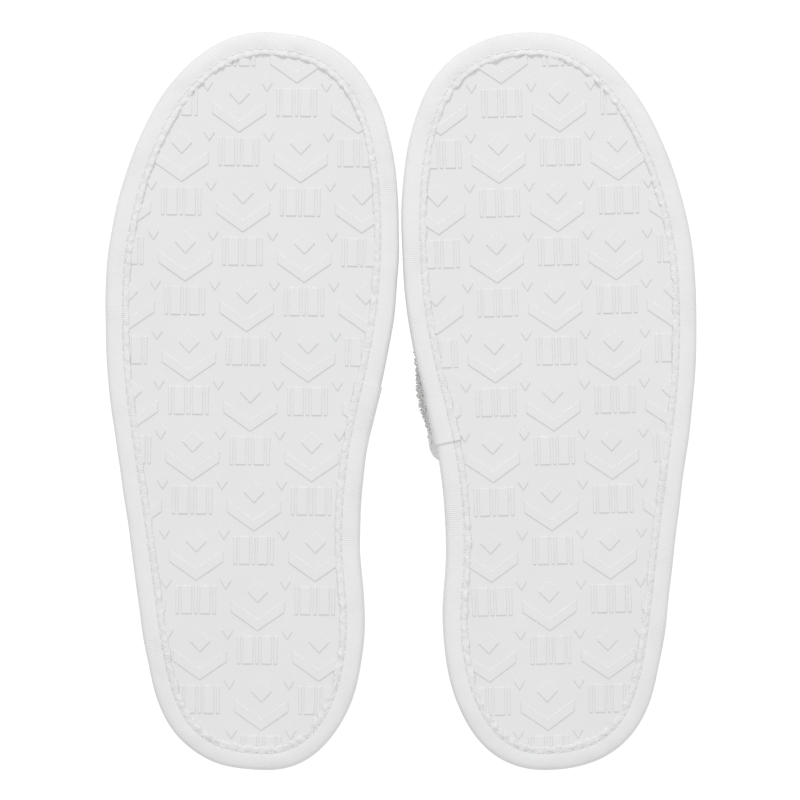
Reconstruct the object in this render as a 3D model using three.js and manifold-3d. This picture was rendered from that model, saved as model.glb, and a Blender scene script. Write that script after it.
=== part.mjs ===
import * as THREE from "three";
import { mergeVertices } from "three/addons/utils/BufferGeometryUtils.js";
import Module from "manifold-3d";

// A pair of closed-toe spa slippers lying soles down, side by side.
// Millimetres, +Z up, toes towards -Y, the floor at z = 0 under the middle of the pair.
// In each slipper's own plan, +x is the big-toe side; the left slipper is the mirror image.

const wasm = await Module();
wasm.setup();

// Outline of the sole
const soleLength = 290;
const ballWidth = 115;
const toeTipOffset = 4.5;        // towards the big toe
const heelTipOffset = 7;         // towards the inner ankle
const innerBallFromToe = 82;
const outerBallFromToe = 104;
const innerHeelReach = 45.6;       // from the centre line
const outerHeelReach = 43;
const innerHeelFromBack = 58;
const outerHeelFromBack = 63;
const waistHollow = 2.2;         // how far the arch draws in from the inner heel
const waistFromBack = 93;
const outerTaper = THREE.MathUtils.degToRad(8);

// How the pair lies
const pairGap = 1;
const toeIn = { right: THREE.MathUtils.degToRad(0.6), left: THREE.MathUtils.degToRad(1.6) };

// Sole layers, from the floor up
const treadRelief = 0.5;
const outsoleWeb = 0.7;          // moulded skin that stands below the taped margin
const outsoleMargin = 1.4;       // sheet caught under the tape
const midsoleThickness = 3.5;
const footbedFoamThickness = 3;
const footbedTerryThickness = 1.8;
const coreInset = 1.2;           // layers are trimmed this far inside the taped edge

// Edge tape and its seam
const tapeThickness = 0.6;
const tapeUnderWidth = 9.6;
const tapeTopWidth = 8;
const tapeCorner = 1;
const treadClearance = 0.5;      // between the tape's inner edge and the tread panel
const seamInset = 7.2;
const threadWidth = 0.7;
const threadHeight = 0.4;
const threadClearance = 0.1;

// Upper
const upperTapeClearance = 1.4;  // between the top tape's inner edge and the foot of the upper
const upperFlangeInset = 2.2;
const upperFlangeThickness = 1.2;
const upperTerryThickness = 1.4;
const upperFoamThickness = 1.4;
const upperLiningThickness = 0.6;
const upperLayerGap = 0.1;
const toeBoxHeight = 27;         // above the footbed
const instepHeight = 48;
const toeRoundingShare = 0.34;   // part of the upper's side length over which the toe rounds up
const throatSideFromToe = 172;
const throatTopFromToe = 136;
const archSquareness = 2.4;      // 2 is an ellipse, more is boxier
const bulgeSlant = 0.8;          // below 1 the sides swell lower down
const throatSlant = 1.6;         // above 1 the throat leans towards the toe mostly near its top
const flangeRampShare = 0.03;    // part of the edge over which the tape steps down off the flange
const sideBulge = {
  right: { inner: 7.5, outer: 7 },
  left: { inner: 13.8, outer: 7 },
};

// Tape round the foot opening
const throatTapeReach = 8;
const throatTapeClearance = 0.45;
const throatSeamReach = 5.8;
const throatTapeStart = 0.3;     // first section, as a part of the first step up the arch

// Tread pattern: broad chevrons, lozenges, grip bars and studs in half-drop columns
const columnPitch = 23.3;
const rowPitch = 39;
const columnLean = THREE.MathUtils.degToRad(2.7);
const chevronReach = 10.6;
const chevronDepth = 7.4;
const chevronBand = 4.6;
const lozengeWidth = 8.4;
const lozengeHeight = 8.8;
const lozengeRise = 3.4;         // its centre above the chevron's arms
const gripBars = [[-7.2, 1.4], [-3.6, 4.2], [0, 1.4], [3.6, 4.2], [7.2, 1.4]];  // middle, width
const barLength = 11;
const barGap = 2;
const studWidth = 4.4;
const studHeight = 7;
const studDrop = 12;             // below the chevron's arms, on the line between two columns

// Fineness of the facets
const edgeSteps = 64;
const upperStations = 12;
const stationCrowding = 1.4;     // above 1 the stations crowd towards the toe
const archSteps = 14;

// Heights that follow
const tapeUnderside = treadRelief + outsoleWeb - tapeThickness;
const marginUnderside = treadRelief + outsoleWeb;
const outsoleTop = marginUnderside + outsoleMargin;
const midsoleTop = outsoleTop + midsoleThickness;
const footbedFoamTop = midsoleTop + footbedFoamThickness;
const footbedTop = footbedFoamTop + footbedTerryThickness;
const upperSeamInset = tapeTopWidth + upperTapeClearance;

// Depths of the upper's layers in from its outer face
const upperDepths = layerDepths();

function layerDepths() {
  const coverTo = upperTerryThickness;
  const foamFrom = coverTo + upperLayerGap;
  const foamTo = foamFrom + upperFoamThickness;
  const liningFrom = foamTo + upperLayerGap;
  return { coverTo, foamFrom, foamTo, liningFrom, liningTo: liningFrom + upperLiningThickness };
}

const finishes = {
  outsole: { color: 0xe6eaea, roughness: 0.42 },
  board: { color: 0xe9e7e0, roughness: 0.8 },
  foam: { color: 0xefe9d6, roughness: 0.9 },
  terry: { color: 0xf2f1ee, roughness: 0.97 },
  lining: { color: 0xeeeeec, roughness: 0.9 },
  tape: { color: 0xeff0f0, roughness: 0.8 },
  thread: { color: 0xf4f4f2, roughness: 0.6 },
};

function finish(name) {
  return new THREE.MeshStandardMaterial({ ...finishes[name], metalness: 0 });
}

// A smooth loop from the toe tip down the inner side, round the heel and back up the outer side.
// Each stretch's handles are shares of the distance between its two ends.
function soleOutline() {
  const toe = -soleLength / 2;
  const heel = soleLength / 2;
  const half = ballWidth / 2;
  const toeTip = new THREE.Vector2(toeTipOffset, toe);
  const innerBall = new THREE.Vector2(half, toe + innerBallFromToe);
  const waist = new THREE.Vector2(innerHeelReach - waistHollow, heel - waistFromBack);
  const innerHeel = new THREE.Vector2(innerHeelReach, heel - innerHeelFromBack);
  const heelTip = new THREE.Vector2(heelTipOffset, heel);
  const outerHeel = new THREE.Vector2(-outerHeelReach, heel - outerHeelFromBack);
  const outerBall = new THREE.Vector2(-half, toe + outerBallFromToe);
  const across = new THREE.Vector2(1, 0);
  const along = new THREE.Vector2(0, 1);
  const taper = new THREE.Vector2(-Math.sin(outerTaper), -Math.cos(outerTaper));
  const stretches = [
    [toeTip, across, 0.69, 0.70, along, innerBall],
    [innerBall, along, 0.46, 0.42, along, waist],
    [waist, along, 0.42, 0.42, along, innerHeel],
    [innerHeel, along, 0.57, 0.65, across.clone().negate(), heelTip],
    [heelTip, across.clone().negate(), 0.78, 0.55, taper, outerHeel],
    [outerHeel, taper, 0.68, 0.34, along.clone().negate(), outerBall],
    [outerBall, along.clone().negate(), 0.415, 0.665, across, toeTip],
  ];
  const outline = new THREE.Path();
  for (const [from, leaving, firstShare, lastShare, arriving, to] of stretches) {
    const span = to.clone().sub(from);
    const reach = (direction) => Math.abs(span.x * direction.x) + Math.abs(span.y * direction.y);
    const first = from.clone().addScaledVector(leaving, reach(leaving) * firstShare);
    const last = to.clone().addScaledVector(arriving, -reach(arriving) * lastShare);
    outline.curves.push(new THREE.CubicBezierCurve(from, first, last, to));
  }
  return outline;
}

const outline = soleOutline();

// The point at a share of the way round the edge, drawn in towards the middle by inset.
function edgePoint(share, inset) {
  const lap = ((share % 1) + 1) % 1;
  const point = outline.getPointAt(lap);
  const tangent = outline.getTangentAt(lap);
  return new THREE.Vector2(point.x - tangent.y * inset, point.y + tangent.x * inset);
}

function edgeLoop(inset) {
  return Array.from({ length: edgeSteps }, (_, step) => edgePoint(step / edgeSteps, inset));
}

// How far round the edge, from one share towards another, the edge is a given way behind the toe.
function shareAt(fromToe, low, high, passes = 40) {
  const y = fromToe - soleLength / 2;
  let near = low;
  let far = high;
  for (let pass = 0; pass < passes; pass++) {
    const middle = (near + far) / 2;
    if (outline.getPointAt(middle).y < y) near = middle;
    else far = middle;
  }
  return near;
}

const innerThroatShare = shareAt(throatSideFromToe, 0, 0.5);
const outerThroatShare = shareAt(throatSideFromToe, 1, 0.5);

// A closed solid from points and faces; its faces are turned outwards whatever the hand.
function solidFrom(points, faces) {
  let volume = 0;
  for (const [a, b, c] of faces) {
    volume += points[a].dot(points[b].clone().cross(points[c]));
  }
  const outward = volume > 0 ? faces : faces.map(([a, b, c]) => [a, c, b]);
  const geometry = new THREE.BufferGeometry();
  const positions = points.flatMap((point) => [point.x, point.y, point.z]);
  geometry.setAttribute("position", new THREE.Float32BufferAttribute(positions, 3));
  geometry.setIndex(outward.flat());
  geometry.computeVertexNormals();
  return geometry;
}

// Joins loops of points, each loop the same length, into a solid. With a cap, a list of triangles
// over one loop, both ends are closed; without one the last loop joins the first.
function sweptSolid(loops, cap) {
  const size = loops[0].length;
  const faces = [];
  const joins = cap ? loops.length - 1 : loops.length;
  for (let loop = 0; loop < joins; loop++) {
    const here = loop * size;
    const there = ((loop + 1) % loops.length) * size;
    for (let k = 0; k < size; k++) {
      const next = (k + 1) % size;
      addQuad(faces, here + k, here + next, there + next, there + k, false);
    }
  }
  const last = (loops.length - 1) * size;
  for (const [a, b, c] of cap ?? []) {
    faces.push([a, c, b]);
    faces.push([last + a, last + b, last + c]);
  }
  return solidFrom(loops.flat(), faces);
}

function addQuad(faces, a, b, c, d, flipped) {
  if (flipped) faces.push([a, c, b], [a, d, c]);
  else faces.push([a, b, c], [a, c, d]);
}

function mirrored(point, side) {
  return new THREE.Vector3(point.x * side, point.y, point.z);
}

function slab(inset, low, high, side) {
  const shape = new THREE.Shape(edgeLoop(inset).map((p) => new THREE.Vector2(p.x * side, p.y)));
  const geometry = new THREE.ExtrudeGeometry(shape, { depth: high - low, bevelEnabled: false });
  geometry.translate(0, 0, low);
  return geometry;
}

function toManifold(geometry) {
  const bare = geometry.clone();
  bare.deleteAttribute("normal");
  bare.deleteAttribute("uv");
  const merged = mergeVertices(bare, 1e-4);
  const triVerts = new Uint32Array(merged.index.array);
  const vertProperties = merged.attributes.position.array;
  return new wasm.Manifold(new wasm.Mesh({ numProp: 3, vertProperties, triVerts }));
}

function fromManifold(solid) {
  const mesh = solid.getMesh();
  const geometry = new THREE.BufferGeometry();
  geometry.setAttribute("position", new THREE.BufferAttribute(mesh.vertProperties, 3));
  geometry.setIndex(new THREE.BufferAttribute(mesh.triVerts, 1));
  geometry.computeVertexNormals();
  return geometry;
}

// One cell of the tread, its chevron's arms at y = 0 and its point towards the heel.
function cellShapes() {
  const chevron = [
    [-chevronReach, 0],
    [0, chevronDepth],
    [chevronReach, 0],
    [chevronReach, chevronBand],
    [0, chevronDepth + chevronBand],
    [-chevronReach, chevronBand],
  ];
  const lozenge = diamond(0, -lozengeRise, lozengeWidth, lozengeHeight);
  const studs = [-1, 1].map((way) => diamond((way * columnPitch) / 2, studDrop, studWidth, studHeight));
  const underPoint = chevronDepth + chevronBand + barGap;
  const foot = underPoint + barLength;
  const bars = gripBars.map(([middle, width]) => {
    const [near, far] = [middle - width / 2, middle + width / 2];
    return [[near, underPoint], [far, underPoint], [far, foot], [near, foot]];
  });
  return [chevron, lozenge, ...bars, ...studs];
}

function diamond(x, y, width, height) {
  return [
    [x - width / 2, y],
    [x, y + height / 2],
    [x + width / 2, y],
    [x, y - height / 2],
  ];
}

// The raised tread over the whole panel, trimmed to the panel's edge.
function treadLugs(side) {
  const lugs = [];
  const columns = Math.ceil(ballWidth / 2 / columnPitch) + 1;
  const rows = Math.ceil(soleLength / 2 / rowPitch) + 1;
  for (let column = -columns; column <= columns; column++) {
    const drop = column % 2 === 0 ? 0 : rowPitch / 2;
    for (let row = -rows; row <= rows; row++) {
      const y = row * rowPitch + drop;
      const x = column * columnPitch + y * Math.tan(columnLean);
      for (const corners of cellShapes()) {
        const plan = corners.map(([dx, dy]) => new THREE.Vector2((x + dx) * side, y + dy));
        if (!touchesPanel(plan, side)) continue;
        const depth = treadRelief + outsoleWeb / 2;
        const lug = new THREE.ExtrudeGeometry(new THREE.Shape(plan), { depth, bevelEnabled: false });
        lugs.push(toManifold(lug));
      }
    }
  }
  return lugs.reduce((sum, lug) => sum.add(lug));
}

// Lugs that would leave only a sliver inside the panel are left off.
function touchesPanel(plan, side) {
  const panel = edgeLoop(panelInset).map((p) => new THREE.Vector2(p.x * side, p.y));
  const middle = plan.reduce((sum, p) => sum.add(p), new THREE.Vector2()).divideScalar(plan.length);
  let inside = false;
  for (let k = 0, last = panel.length - 1; k < panel.length; last = k++) {
    const [a, b] = [panel[k], panel[last]];
    const crosses = a.y > middle.y !== b.y > middle.y;
    if (crosses && middle.x < ((b.x - a.x) * (middle.y - a.y)) / (b.y - a.y) + a.x) inside = !inside;
  }
  return inside;
}

const panelInset = tapeUnderWidth + treadClearance;

function outsole(side) {
  const margin = toManifold(slab(coreInset, marginUnderside, outsoleTop, side));
  const panel = toManifold(slab(panelInset, treadRelief, marginUnderside + outsoleMargin / 2, side));
  const trim = toManifold(slab(panelInset, -treadRelief, treadRelief + outsoleWeb, side));
  const lugs = treadLugs(side).intersect(trim);
  return fromManifold(margin.add(panel).add(lugs));
}

// How much of the upper's flange lies under the tape at a share of the way round: 1, 0 or a ramp.
function flangeCover(share) {
  const pastInner = share - innerThroatShare - flangeRampShare;
  const beforeOuter = outerThroatShare - flangeRampShare - share;
  return 1 - THREE.MathUtils.clamp(Math.min(pastInner, beforeOuter) / flangeRampShare, 0, 1);
}

function tapeSeat(share) {
  return footbedTop + upperFlangeThickness * flangeCover(share);
}

function edgeSweep(section, side) {
  const loops = [];
  for (let step = 0; step < edgeSteps; step++) {
    const share = step / edgeSteps;
    const loop = section(share).map(([inset, z]) => {
      const plan = edgePoint(share, inset);
      return new THREE.Vector3(plan.x * side, plan.y, z);
    });
    loops.push(loop);
  }
  return sweptSolid(loops);
}

function soleBinding(side) {
  const section = (share) => {
    const seat = tapeSeat(share);
    const outer = tapeCorner + tapeThickness;
    return [
      [tapeUnderWidth, tapeUnderside],
      [outer, tapeUnderside],
      [0, tapeUnderside + tapeCorner],
      [0, seat + tapeThickness - tapeCorner],
      [outer, seat + tapeThickness],
      [tapeTopWidth, seat + tapeThickness],
      [tapeTopWidth, seat],
      [tapeCorner, seat],
      [tapeThickness, seat - tapeCorner],
      [tapeThickness, marginUnderside + tapeCorner],
      [tapeCorner, marginUnderside],
      [tapeUnderWidth, marginUnderside],
    ];
  };
  return edgeSweep(section, side);
}

function seamThread(side, lowAt) {
  const section = (share) => {
    const low = lowAt(share);
    return [
      [seamInset - threadWidth / 2, low],
      [seamInset - threadWidth / 2, low + threadHeight],
      [seamInset + threadWidth / 2, low + threadHeight],
      [seamInset + threadWidth / 2, low],
    ];
  };
  return edgeSweep(section, side);
}

// Rings of points over the upper, thickness in from its outer face, from the toe tip to the throat.
// Each ring runs from the outer side over the top to the inner side.
function upperRings(thickness, lift, bulge) {
  const rings = [];
  for (let station = 1; station <= upperStations; station++) {
    const way = (station / upperStations) ** stationCrowding;
    const inset = upperSeamInset + thickness;
    const inner = edgePoint(way * innerThroatShare, inset);
    const outer = edgePoint(1 - way * (1 - outerThroatShare), inset);
    const middle = inner.clone().add(outer).divideScalar(2);
    const across = inner.clone().sub(middle);
    const half = across.length();
    across.divideScalar(half);
    const rounding = Math.min(way / toeRoundingShare, 1);
    const rise = Math.sqrt(1 - (1 - rounding) ** 2);
    const slope = THREE.MathUtils.smoothstep(way, 0, 1);
    const full = THREE.MathUtils.lerp(toeBoxHeight, instepHeight, slope);
    const height = rise * (full - thickness) - lift;
    const lean = (throatSideFromToe - throatTopFromToe) * way ** 2;
    rings.push(archRing({ middle, across, half, height, lean, lift, swell: rise * way, bulge }));
  }
  return rings;
}

function archRing({ middle, across, half, height, lean, lift, swell, bulge }) {
  const ring = [];
  for (let step = 0; step <= archSteps; step++) {
    const angle = Math.PI * (1 - step / archSteps);
    const level = Math.abs(Math.sin(angle)) < 1e-9 ? 0 : Math.sin(angle) ** (2 / archSquareness);
    const sideways = Math.sign(Math.cos(angle)) * Math.abs(Math.cos(angle)) ** (2 / archSquareness);
    const out = sideways < 0 ? -bulge.outer : bulge.inner;
    const puff = swell * Math.sin(Math.PI * level ** bulgeSlant) ** 2 * out;
    const reach = half * sideways + puff;
    const x = middle.x + across.x * reach;
    const y = middle.y + across.y * reach - lean * level ** throatSlant;
    ring.push(new THREE.Vector3(x, y, footbedTop + lift + height * level));
  }
  return ring;
}

function upperTip(thickness, lift) {
  const tip = edgePoint(0, upperSeamInset + thickness);
  return new THREE.Vector3(tip.x, tip.y, footbedTop + lift);
}

// The foot of the upper from the throat's outer side round the toe to its inner side.
function footLine(rings, tip) {
  const outerSide = rings.map((ring) => ring[0]).reverse();
  const innerSide = rings.map((ring) => ring[ring.length - 1]);
  return [...outerSide, tip, ...innerSide];
}

// A line along the same stations, at a given inset and height.
function flangeLine(inset, z) {
  const shares = [];
  for (let station = -upperStations; station <= upperStations; station++) {
    const way = (Math.abs(station) / upperStations) ** stationCrowding;
    shares.push(station < 0 ? 1 - way * (1 - outerThroatShare) : way * innerThroatShare);
  }
  return shares.map((share) => {
    const plan = edgePoint(share, inset);
    return new THREE.Vector3(plan.x, plan.y, z);
  });
}

// A shell between two depths of the upper, with an optional flange turned out at its foot.
function upperLayer(from, to, withFlange, bulge, side) {
  const lift = withFlange ? upperFlangeThickness : 0;
  const skins = [
    { rings: upperRings(from, lift, bulge), tip: upperTip(from, lift) },
    { rings: upperRings(to, 0, bulge), tip: upperTip(to, 0) },
  ];
  const points = [];
  const faces = [];
  const add = (point) => points.push(mirrored(point, side)) - 1;
  const patches = skins.map(({ rings, tip }) => ({
    tip: add(tip),
    rings: rings.map((ring) => ring.map(add)),
  }));
  patches.forEach((patch, which) => coverPatch(patch, faces, which === 1));
  const lines = [footLine(patches[0].rings, patches[0].tip)];
  if (withFlange) {
    lines.push(flangeLine(upperFlangeInset, footbedTop + lift).map(add));
    lines.push(flangeLine(upperFlangeInset, footbedTop).map(add));
  }
  lines.push(footLine(patches[1].rings, patches[1].tip));
  for (let k = 0; k + 1 < lines.length; k++) stripFaces(lines[k], lines[k + 1], faces, true);
  const throats = patches.map((patch) => patch.rings[patch.rings.length - 1]);
  stripFaces(throats[0], throats[1], faces, false);
  if (withFlange) {
    const starts = lines.map((line) => line[0]);
    const ends = lines.map((line) => line[line.length - 1]);
    faces.push([starts[0], starts[1], starts[2]], [starts[0], starts[2], starts[3]]);
    faces.push([ends[0], ends[2], ends[1]], [ends[0], ends[3], ends[2]]);
  }
  return solidFrom(points, faces);
}

function coverPatch({ tip, rings }, faces, flipped) {
  const first = rings[0];
  for (let k = 0; k + 1 < first.length; k++) {
    faces.push(flipped ? [tip, first[k + 1], first[k]] : [tip, first[k], first[k + 1]]);
  }
  for (let r = 0; r + 1 < rings.length; r++) {
    for (let k = 0; k + 1 < first.length; k++) {
      addQuad(faces, rings[r][k], rings[r + 1][k], rings[r + 1][k + 1], rings[r][k + 1], flipped);
    }
  }
}

function stripFaces(one, other, faces, flipped) {
  for (let k = 0; k + 1 < one.length; k++) {
    addQuad(faces, one[k], other[k], other[k + 1], one[k + 1], flipped);
  }
}

// Where the throat's edge is, outside and inside, and its directions, from the outer side over to the inner.
function throatFrames(bulge) {
  const depth = upperDepths.liningTo;
  const outside = upperRings(0, upperFlangeThickness, bulge);
  const inside = upperRings(depth, 0, bulge);
  const places = [throatTapeStart];
  for (let step = 1; step < archSteps; step++) places.push(step);
  places.push(archSteps - throatTapeStart);
  const at = (ring, place) => {
    const low = Math.floor(place);
    return ring[low].clone().lerp(ring[low + 1] ?? ring[low], place - low);
  };
  return places.map((place) => {
    const [outEdge, outBack] = [outside.at(-1), outside.at(-2)].map((ring) => at(ring, place));
    const [inEdge, inBack] = [inside.at(-1), inside.at(-2)].map((ring) => at(ring, place));
    const outAlong = outBack.sub(outEdge).normalize();
    const inAlong = inBack.sub(inEdge).normalize();
    const away = outEdge.clone().sub(inEdge);
    away.addScaledVector(outAlong, -away.dot(outAlong)).normalize();
    return { outEdge, inEdge, outAlong, inAlong, away };
  });
}

function offset(point, along, distance, away, height) {
  return point.clone().addScaledVector(along, distance).addScaledVector(away, height);
}

function throatSweep(section, cap, bulge, side) {
  const loops = throatFrames(bulge).map((place) => section(place).map((p) => mirrored(p, side)));
  return sweptSolid(loops, cap);
}

function throatBinding(bulge, side) {
  const near = throatTapeClearance;
  const far = near + tapeThickness;
  const section = ({ outEdge, inEdge, outAlong, inAlong, away }) => [
    offset(outEdge, outAlong, -far, away, far),
    offset(outEdge, outAlong, throatTapeReach, away, far),
    offset(outEdge, outAlong, throatTapeReach, away, near),
    offset(outEdge, outAlong, -near, away, near),
    offset(inEdge, inAlong, -near, away, -near),
    offset(inEdge, inAlong, throatTapeReach, away, -near),
    offset(inEdge, inAlong, throatTapeReach, away, -far),
    offset(inEdge, inAlong, -far, away, -far),
  ];
  const cap = [[0, 1, 3], [1, 2, 3], [0, 3, 4], [0, 4, 7], [4, 6, 7], [4, 5, 6]];
  return throatSweep(section, cap, bulge, side);
}

function throatStitching(bulge, side) {
  const low = throatTapeClearance + tapeThickness + threadClearance;
  const high = low + threadHeight;
  const section = ({ outEdge, outAlong, away }) => [
    offset(outEdge, outAlong, throatSeamReach - threadWidth / 2, away, low),
    offset(outEdge, outAlong, throatSeamReach + threadWidth / 2, away, low),
    offset(outEdge, outAlong, throatSeamReach + threadWidth / 2, away, high),
    offset(outEdge, outAlong, throatSeamReach - threadWidth / 2, away, high),
  ];
  return throatSweep(section, [[0, 1, 2], [0, 2, 3]], bulge, side);
}

function addPiece(slipper, name, geometry, finishName) {
  const mesh = new THREE.Mesh(geometry, finish(finishName));
  mesh.name = name;
  slipper.add(mesh);
}

function slipper(hand) {
  const side = hand === "right" ? 1 : -1;
  const bulge = sideBulge[hand];
  const { coverTo, foamFrom, foamTo, liningFrom, liningTo } = upperDepths;
  const group = new THREE.Group();
  const add = (piece, geometry, finishName) => addPiece(group, `${hand}_${piece}`, geometry, finishName);
  add("outsole", outsole(side), "outsole");
  add("midsole", slab(coreInset, outsoleTop, midsoleTop, side), "board");
  add("footbed_foam", slab(coreInset, midsoleTop, footbedFoamTop, side), "foam");
  add("footbed_cover", slab(coreInset, footbedFoamTop, footbedTop, side), "terry");
  add("upper_cover", upperLayer(0, coverTo, true, bulge, side), "terry");
  add("upper_foam", upperLayer(foamFrom, foamTo, false, bulge, side), "foam");
  add("upper_lining", upperLayer(liningFrom, liningTo, false, bulge, side), "lining");
  add("throat_binding", throatBinding(bulge, side), "tape");
  add("throat_stitching", throatStitching(bulge, side), "thread");
  add("sole_binding", soleBinding(side), "tape");
  const overTape = (share) => tapeSeat(share) + tapeThickness + threadClearance;
  const underTape = () => tapeUnderside - threadClearance - threadHeight;
  add("sole_needle_thread", seamThread(side, overTape), "thread");
  add("sole_bobbin_thread", seamThread(side, underTape), "thread");
  return group;
}

// The slippers touch the same centre plane, half the gap away on each side, with their toes in.
function pair() {
  const group = new THREE.Group();
  for (const hand of ["right", "left"]) {
    const side = hand === "right" ? 1 : -1;
    const one = slipper(hand);
    one.rotation.z = toeIn[hand] * side;
    one.updateMatrixWorld(true);
    const sole = new THREE.Box3().setFromObject(one.getObjectByName(`${hand}_sole_binding`), true);
    one.position.x = side > 0 ? -pairGap / 2 - sole.max.x : pairGap / 2 - sole.min.x;
    one.position.y = -(sole.min.y + sole.max.y) / 2;
    group.add(one);
  }
  return group;
}

// The origin is on the floor under the middle of the pair's box.
function centred(group) {
  group.updateMatrixWorld(true);
  const box = new THREE.Box3().setFromObject(group, true);
  const middle = box.getCenter(new THREE.Vector3());
  group.position.set(-middle.x, -middle.y, 0);
  return group;
}

export default centred(pair());
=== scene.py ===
import math

import bmesh
import bpy
import numpy as np
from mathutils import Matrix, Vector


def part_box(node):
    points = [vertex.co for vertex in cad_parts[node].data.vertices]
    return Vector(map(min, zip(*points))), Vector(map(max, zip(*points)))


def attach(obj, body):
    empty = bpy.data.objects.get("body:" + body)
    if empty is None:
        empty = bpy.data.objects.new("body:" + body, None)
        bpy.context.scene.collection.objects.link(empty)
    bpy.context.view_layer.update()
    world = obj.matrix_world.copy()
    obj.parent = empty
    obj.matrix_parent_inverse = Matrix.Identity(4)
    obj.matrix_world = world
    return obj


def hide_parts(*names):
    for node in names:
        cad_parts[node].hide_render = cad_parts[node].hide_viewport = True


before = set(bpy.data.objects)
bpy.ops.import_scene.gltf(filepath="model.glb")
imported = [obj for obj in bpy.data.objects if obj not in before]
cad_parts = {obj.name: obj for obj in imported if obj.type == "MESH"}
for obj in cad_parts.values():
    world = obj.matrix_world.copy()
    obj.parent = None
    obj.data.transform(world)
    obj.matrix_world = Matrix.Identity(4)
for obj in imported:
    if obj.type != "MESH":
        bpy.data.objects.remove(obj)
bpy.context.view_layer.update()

mm = 0.001
hands = {"right": 1, "left": -1}
seeds = {
    "right": {"tape": 0, "cloth": 60, "mouth": 91, "bed": 44, "foam": 52},
    "left": {"tape": 40, "cloth": 70, "mouth": 95, "bed": 48, "foam": 54},
}

# Sizes are in millimetres and angles in degrees unless a name says otherwise.
soleShape = {
    "length": 290,
    "ballWidth": 115,
    "toeTipOffset": 4.5,
    "heelTipOffset": 7,
    "innerBallFromToe": 82,
    "outerBallFromToe": 104,
    "innerHeelReach": 45.6,
    "outerHeelReach": 43,
    "innerHeelFromBack": 58,
    "outerHeelFromBack": 63,
    "waistHollow": 2.2,
    "waistFromBack": 93,
    "outerTaper": 8,
    "toeIn": {"right": 0.6, "left": 1.6},
    "coreInset": 1.2,
}


def say(stage):
    print("spa slippers:", stage)


def smoothStep(low, high, value):
    t = np.clip((value - low) / (high - low), 0, 1)
    return t * t * (3 - 2 * t)


# A smooth wandering value at each point, from a few sines in random directions.
def ripple(points, seed, wavelength, waves=7):
    rng = np.random.default_rng(seed)
    total = np.zeros(points.shape[:-1])
    for _ in range(waves):
        direction = rng.normal(size=points.shape[-1])
        direction /= np.linalg.norm(direction)
        turns = (points @ direction) / (wavelength * rng.uniform(0.7, 1.5))
        total += np.sin(2 * math.pi * (turns + rng.random()))
    return total / math.sqrt(waves)


def unit(vectors):
    return vectors / np.maximum(np.linalg.norm(vectors, axis=-1, keepdims=True), 1e-9)


# How far each point of a line lies from its start, along the line.
def runAlong(points):
    steps = np.linalg.norm(np.diff(points, axis=0), axis=1)
    return np.concatenate([[0], np.cumsum(steps)])


# The sole's edge in one slipper's own plan: toes towards -y, the big-toe side at +x.
def soleEdge(s):
    toe, heel, half = -s["length"] / 2, s["length"] / 2, s["ballWidth"] / 2
    across, along = np.array([1.0, 0.0]), np.array([0.0, 1.0])
    taper = math.radians(s["outerTaper"])
    back = np.array([-math.sin(taper), -math.cos(taper)])
    toeTip = np.array([s["toeTipOffset"], toe])
    innerBall = np.array([half, toe + s["innerBallFromToe"]])
    waist = np.array([s["innerHeelReach"] - s["waistHollow"], heel - s["waistFromBack"]])
    innerHeel = np.array([s["innerHeelReach"], heel - s["innerHeelFromBack"]])
    heelTip = np.array([s["heelTipOffset"], heel])
    outerHeel = np.array([-s["outerHeelReach"], heel - s["outerHeelFromBack"]])
    outerBall = np.array([-half, toe + s["outerBallFromToe"]])
    # Start, the way it leaves, both handles' shares of the span, the way it arrives, end.
    stretches = [
        (toeTip, across, 0.69, 0.70, along, innerBall),
        (innerBall, along, 0.46, 0.42, along, waist),
        (waist, along, 0.42, 0.42, along, innerHeel),
        (innerHeel, along, 0.57, 0.65, -across, heelTip),
        (heelTip, -across, 0.78, 0.55, back, outerHeel),
        (outerHeel, back, 0.68, 0.34, -along, outerBall),
        (outerBall, -along, 0.415, 0.665, across, toeTip),
    ]
    t = np.linspace(0, 1, 300, endpoint=False)[:, None]
    points = []
    for start, leaving, firstShare, lastShare, arriving, end in stretches:
        span = np.abs(end - start)
        first = start + leaving * (span @ np.abs(leaving)) * firstShare
        last = end - arriving * (span @ np.abs(arriving)) * lastShare
        points.append((1 - t) ** 3 * start + 3 * (1 - t) ** 2 * t * first
                      + 3 * (1 - t) * t ** 2 * last + t ** 3 * end)
    points = np.vstack(points)
    closed = np.vstack([points, points[:1]])
    length = runAlong(closed)
    tangent = unit(np.roll(points, -1, axis=0) - np.roll(points, 1, axis=0))
    tangent = np.vstack([tangent, tangent[:1]])
    inward = np.stack([-tangent[:, 1], tangent[:, 0]], axis=1)
    return {"points": closed, "inward": inward, "share": length / length[-1], "length": length[-1]}


edge = soleEdge(soleShape)


def edgeAt(share, inset):
    lap = np.mod(share, 1.0)
    point = [np.interp(lap, edge["share"], edge["points"][:, k]) for k in (0, 1)]
    inward = [np.interp(lap, edge["share"], edge["inward"][:, k]) for k in (0, 1)]
    return np.stack([point[k] + inward[k] * inset for k in (0, 1)], axis=-1)


def shareBehindToe(fromToe, innerSide):
    share, y = edge["share"], edge["points"][:, 1]
    heelTip = share[np.argmax(y)]
    side = share <= heelTip if innerSide else share >= heelTip
    order = np.argsort(y[side])
    return float(np.interp(fromToe - soleShape["length"] / 2, y[side][order], share[side][order]))


def turned(hand, plan):
    side = hands[hand]
    angle = math.radians(soleShape["toeIn"][hand]) * side
    x, y = plan[..., 0] * side, plan[..., 1]
    return np.stack([x * math.cos(angle) - y * math.sin(angle),
                     x * math.sin(angle) + y * math.cos(angle)], axis=-1)


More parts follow.
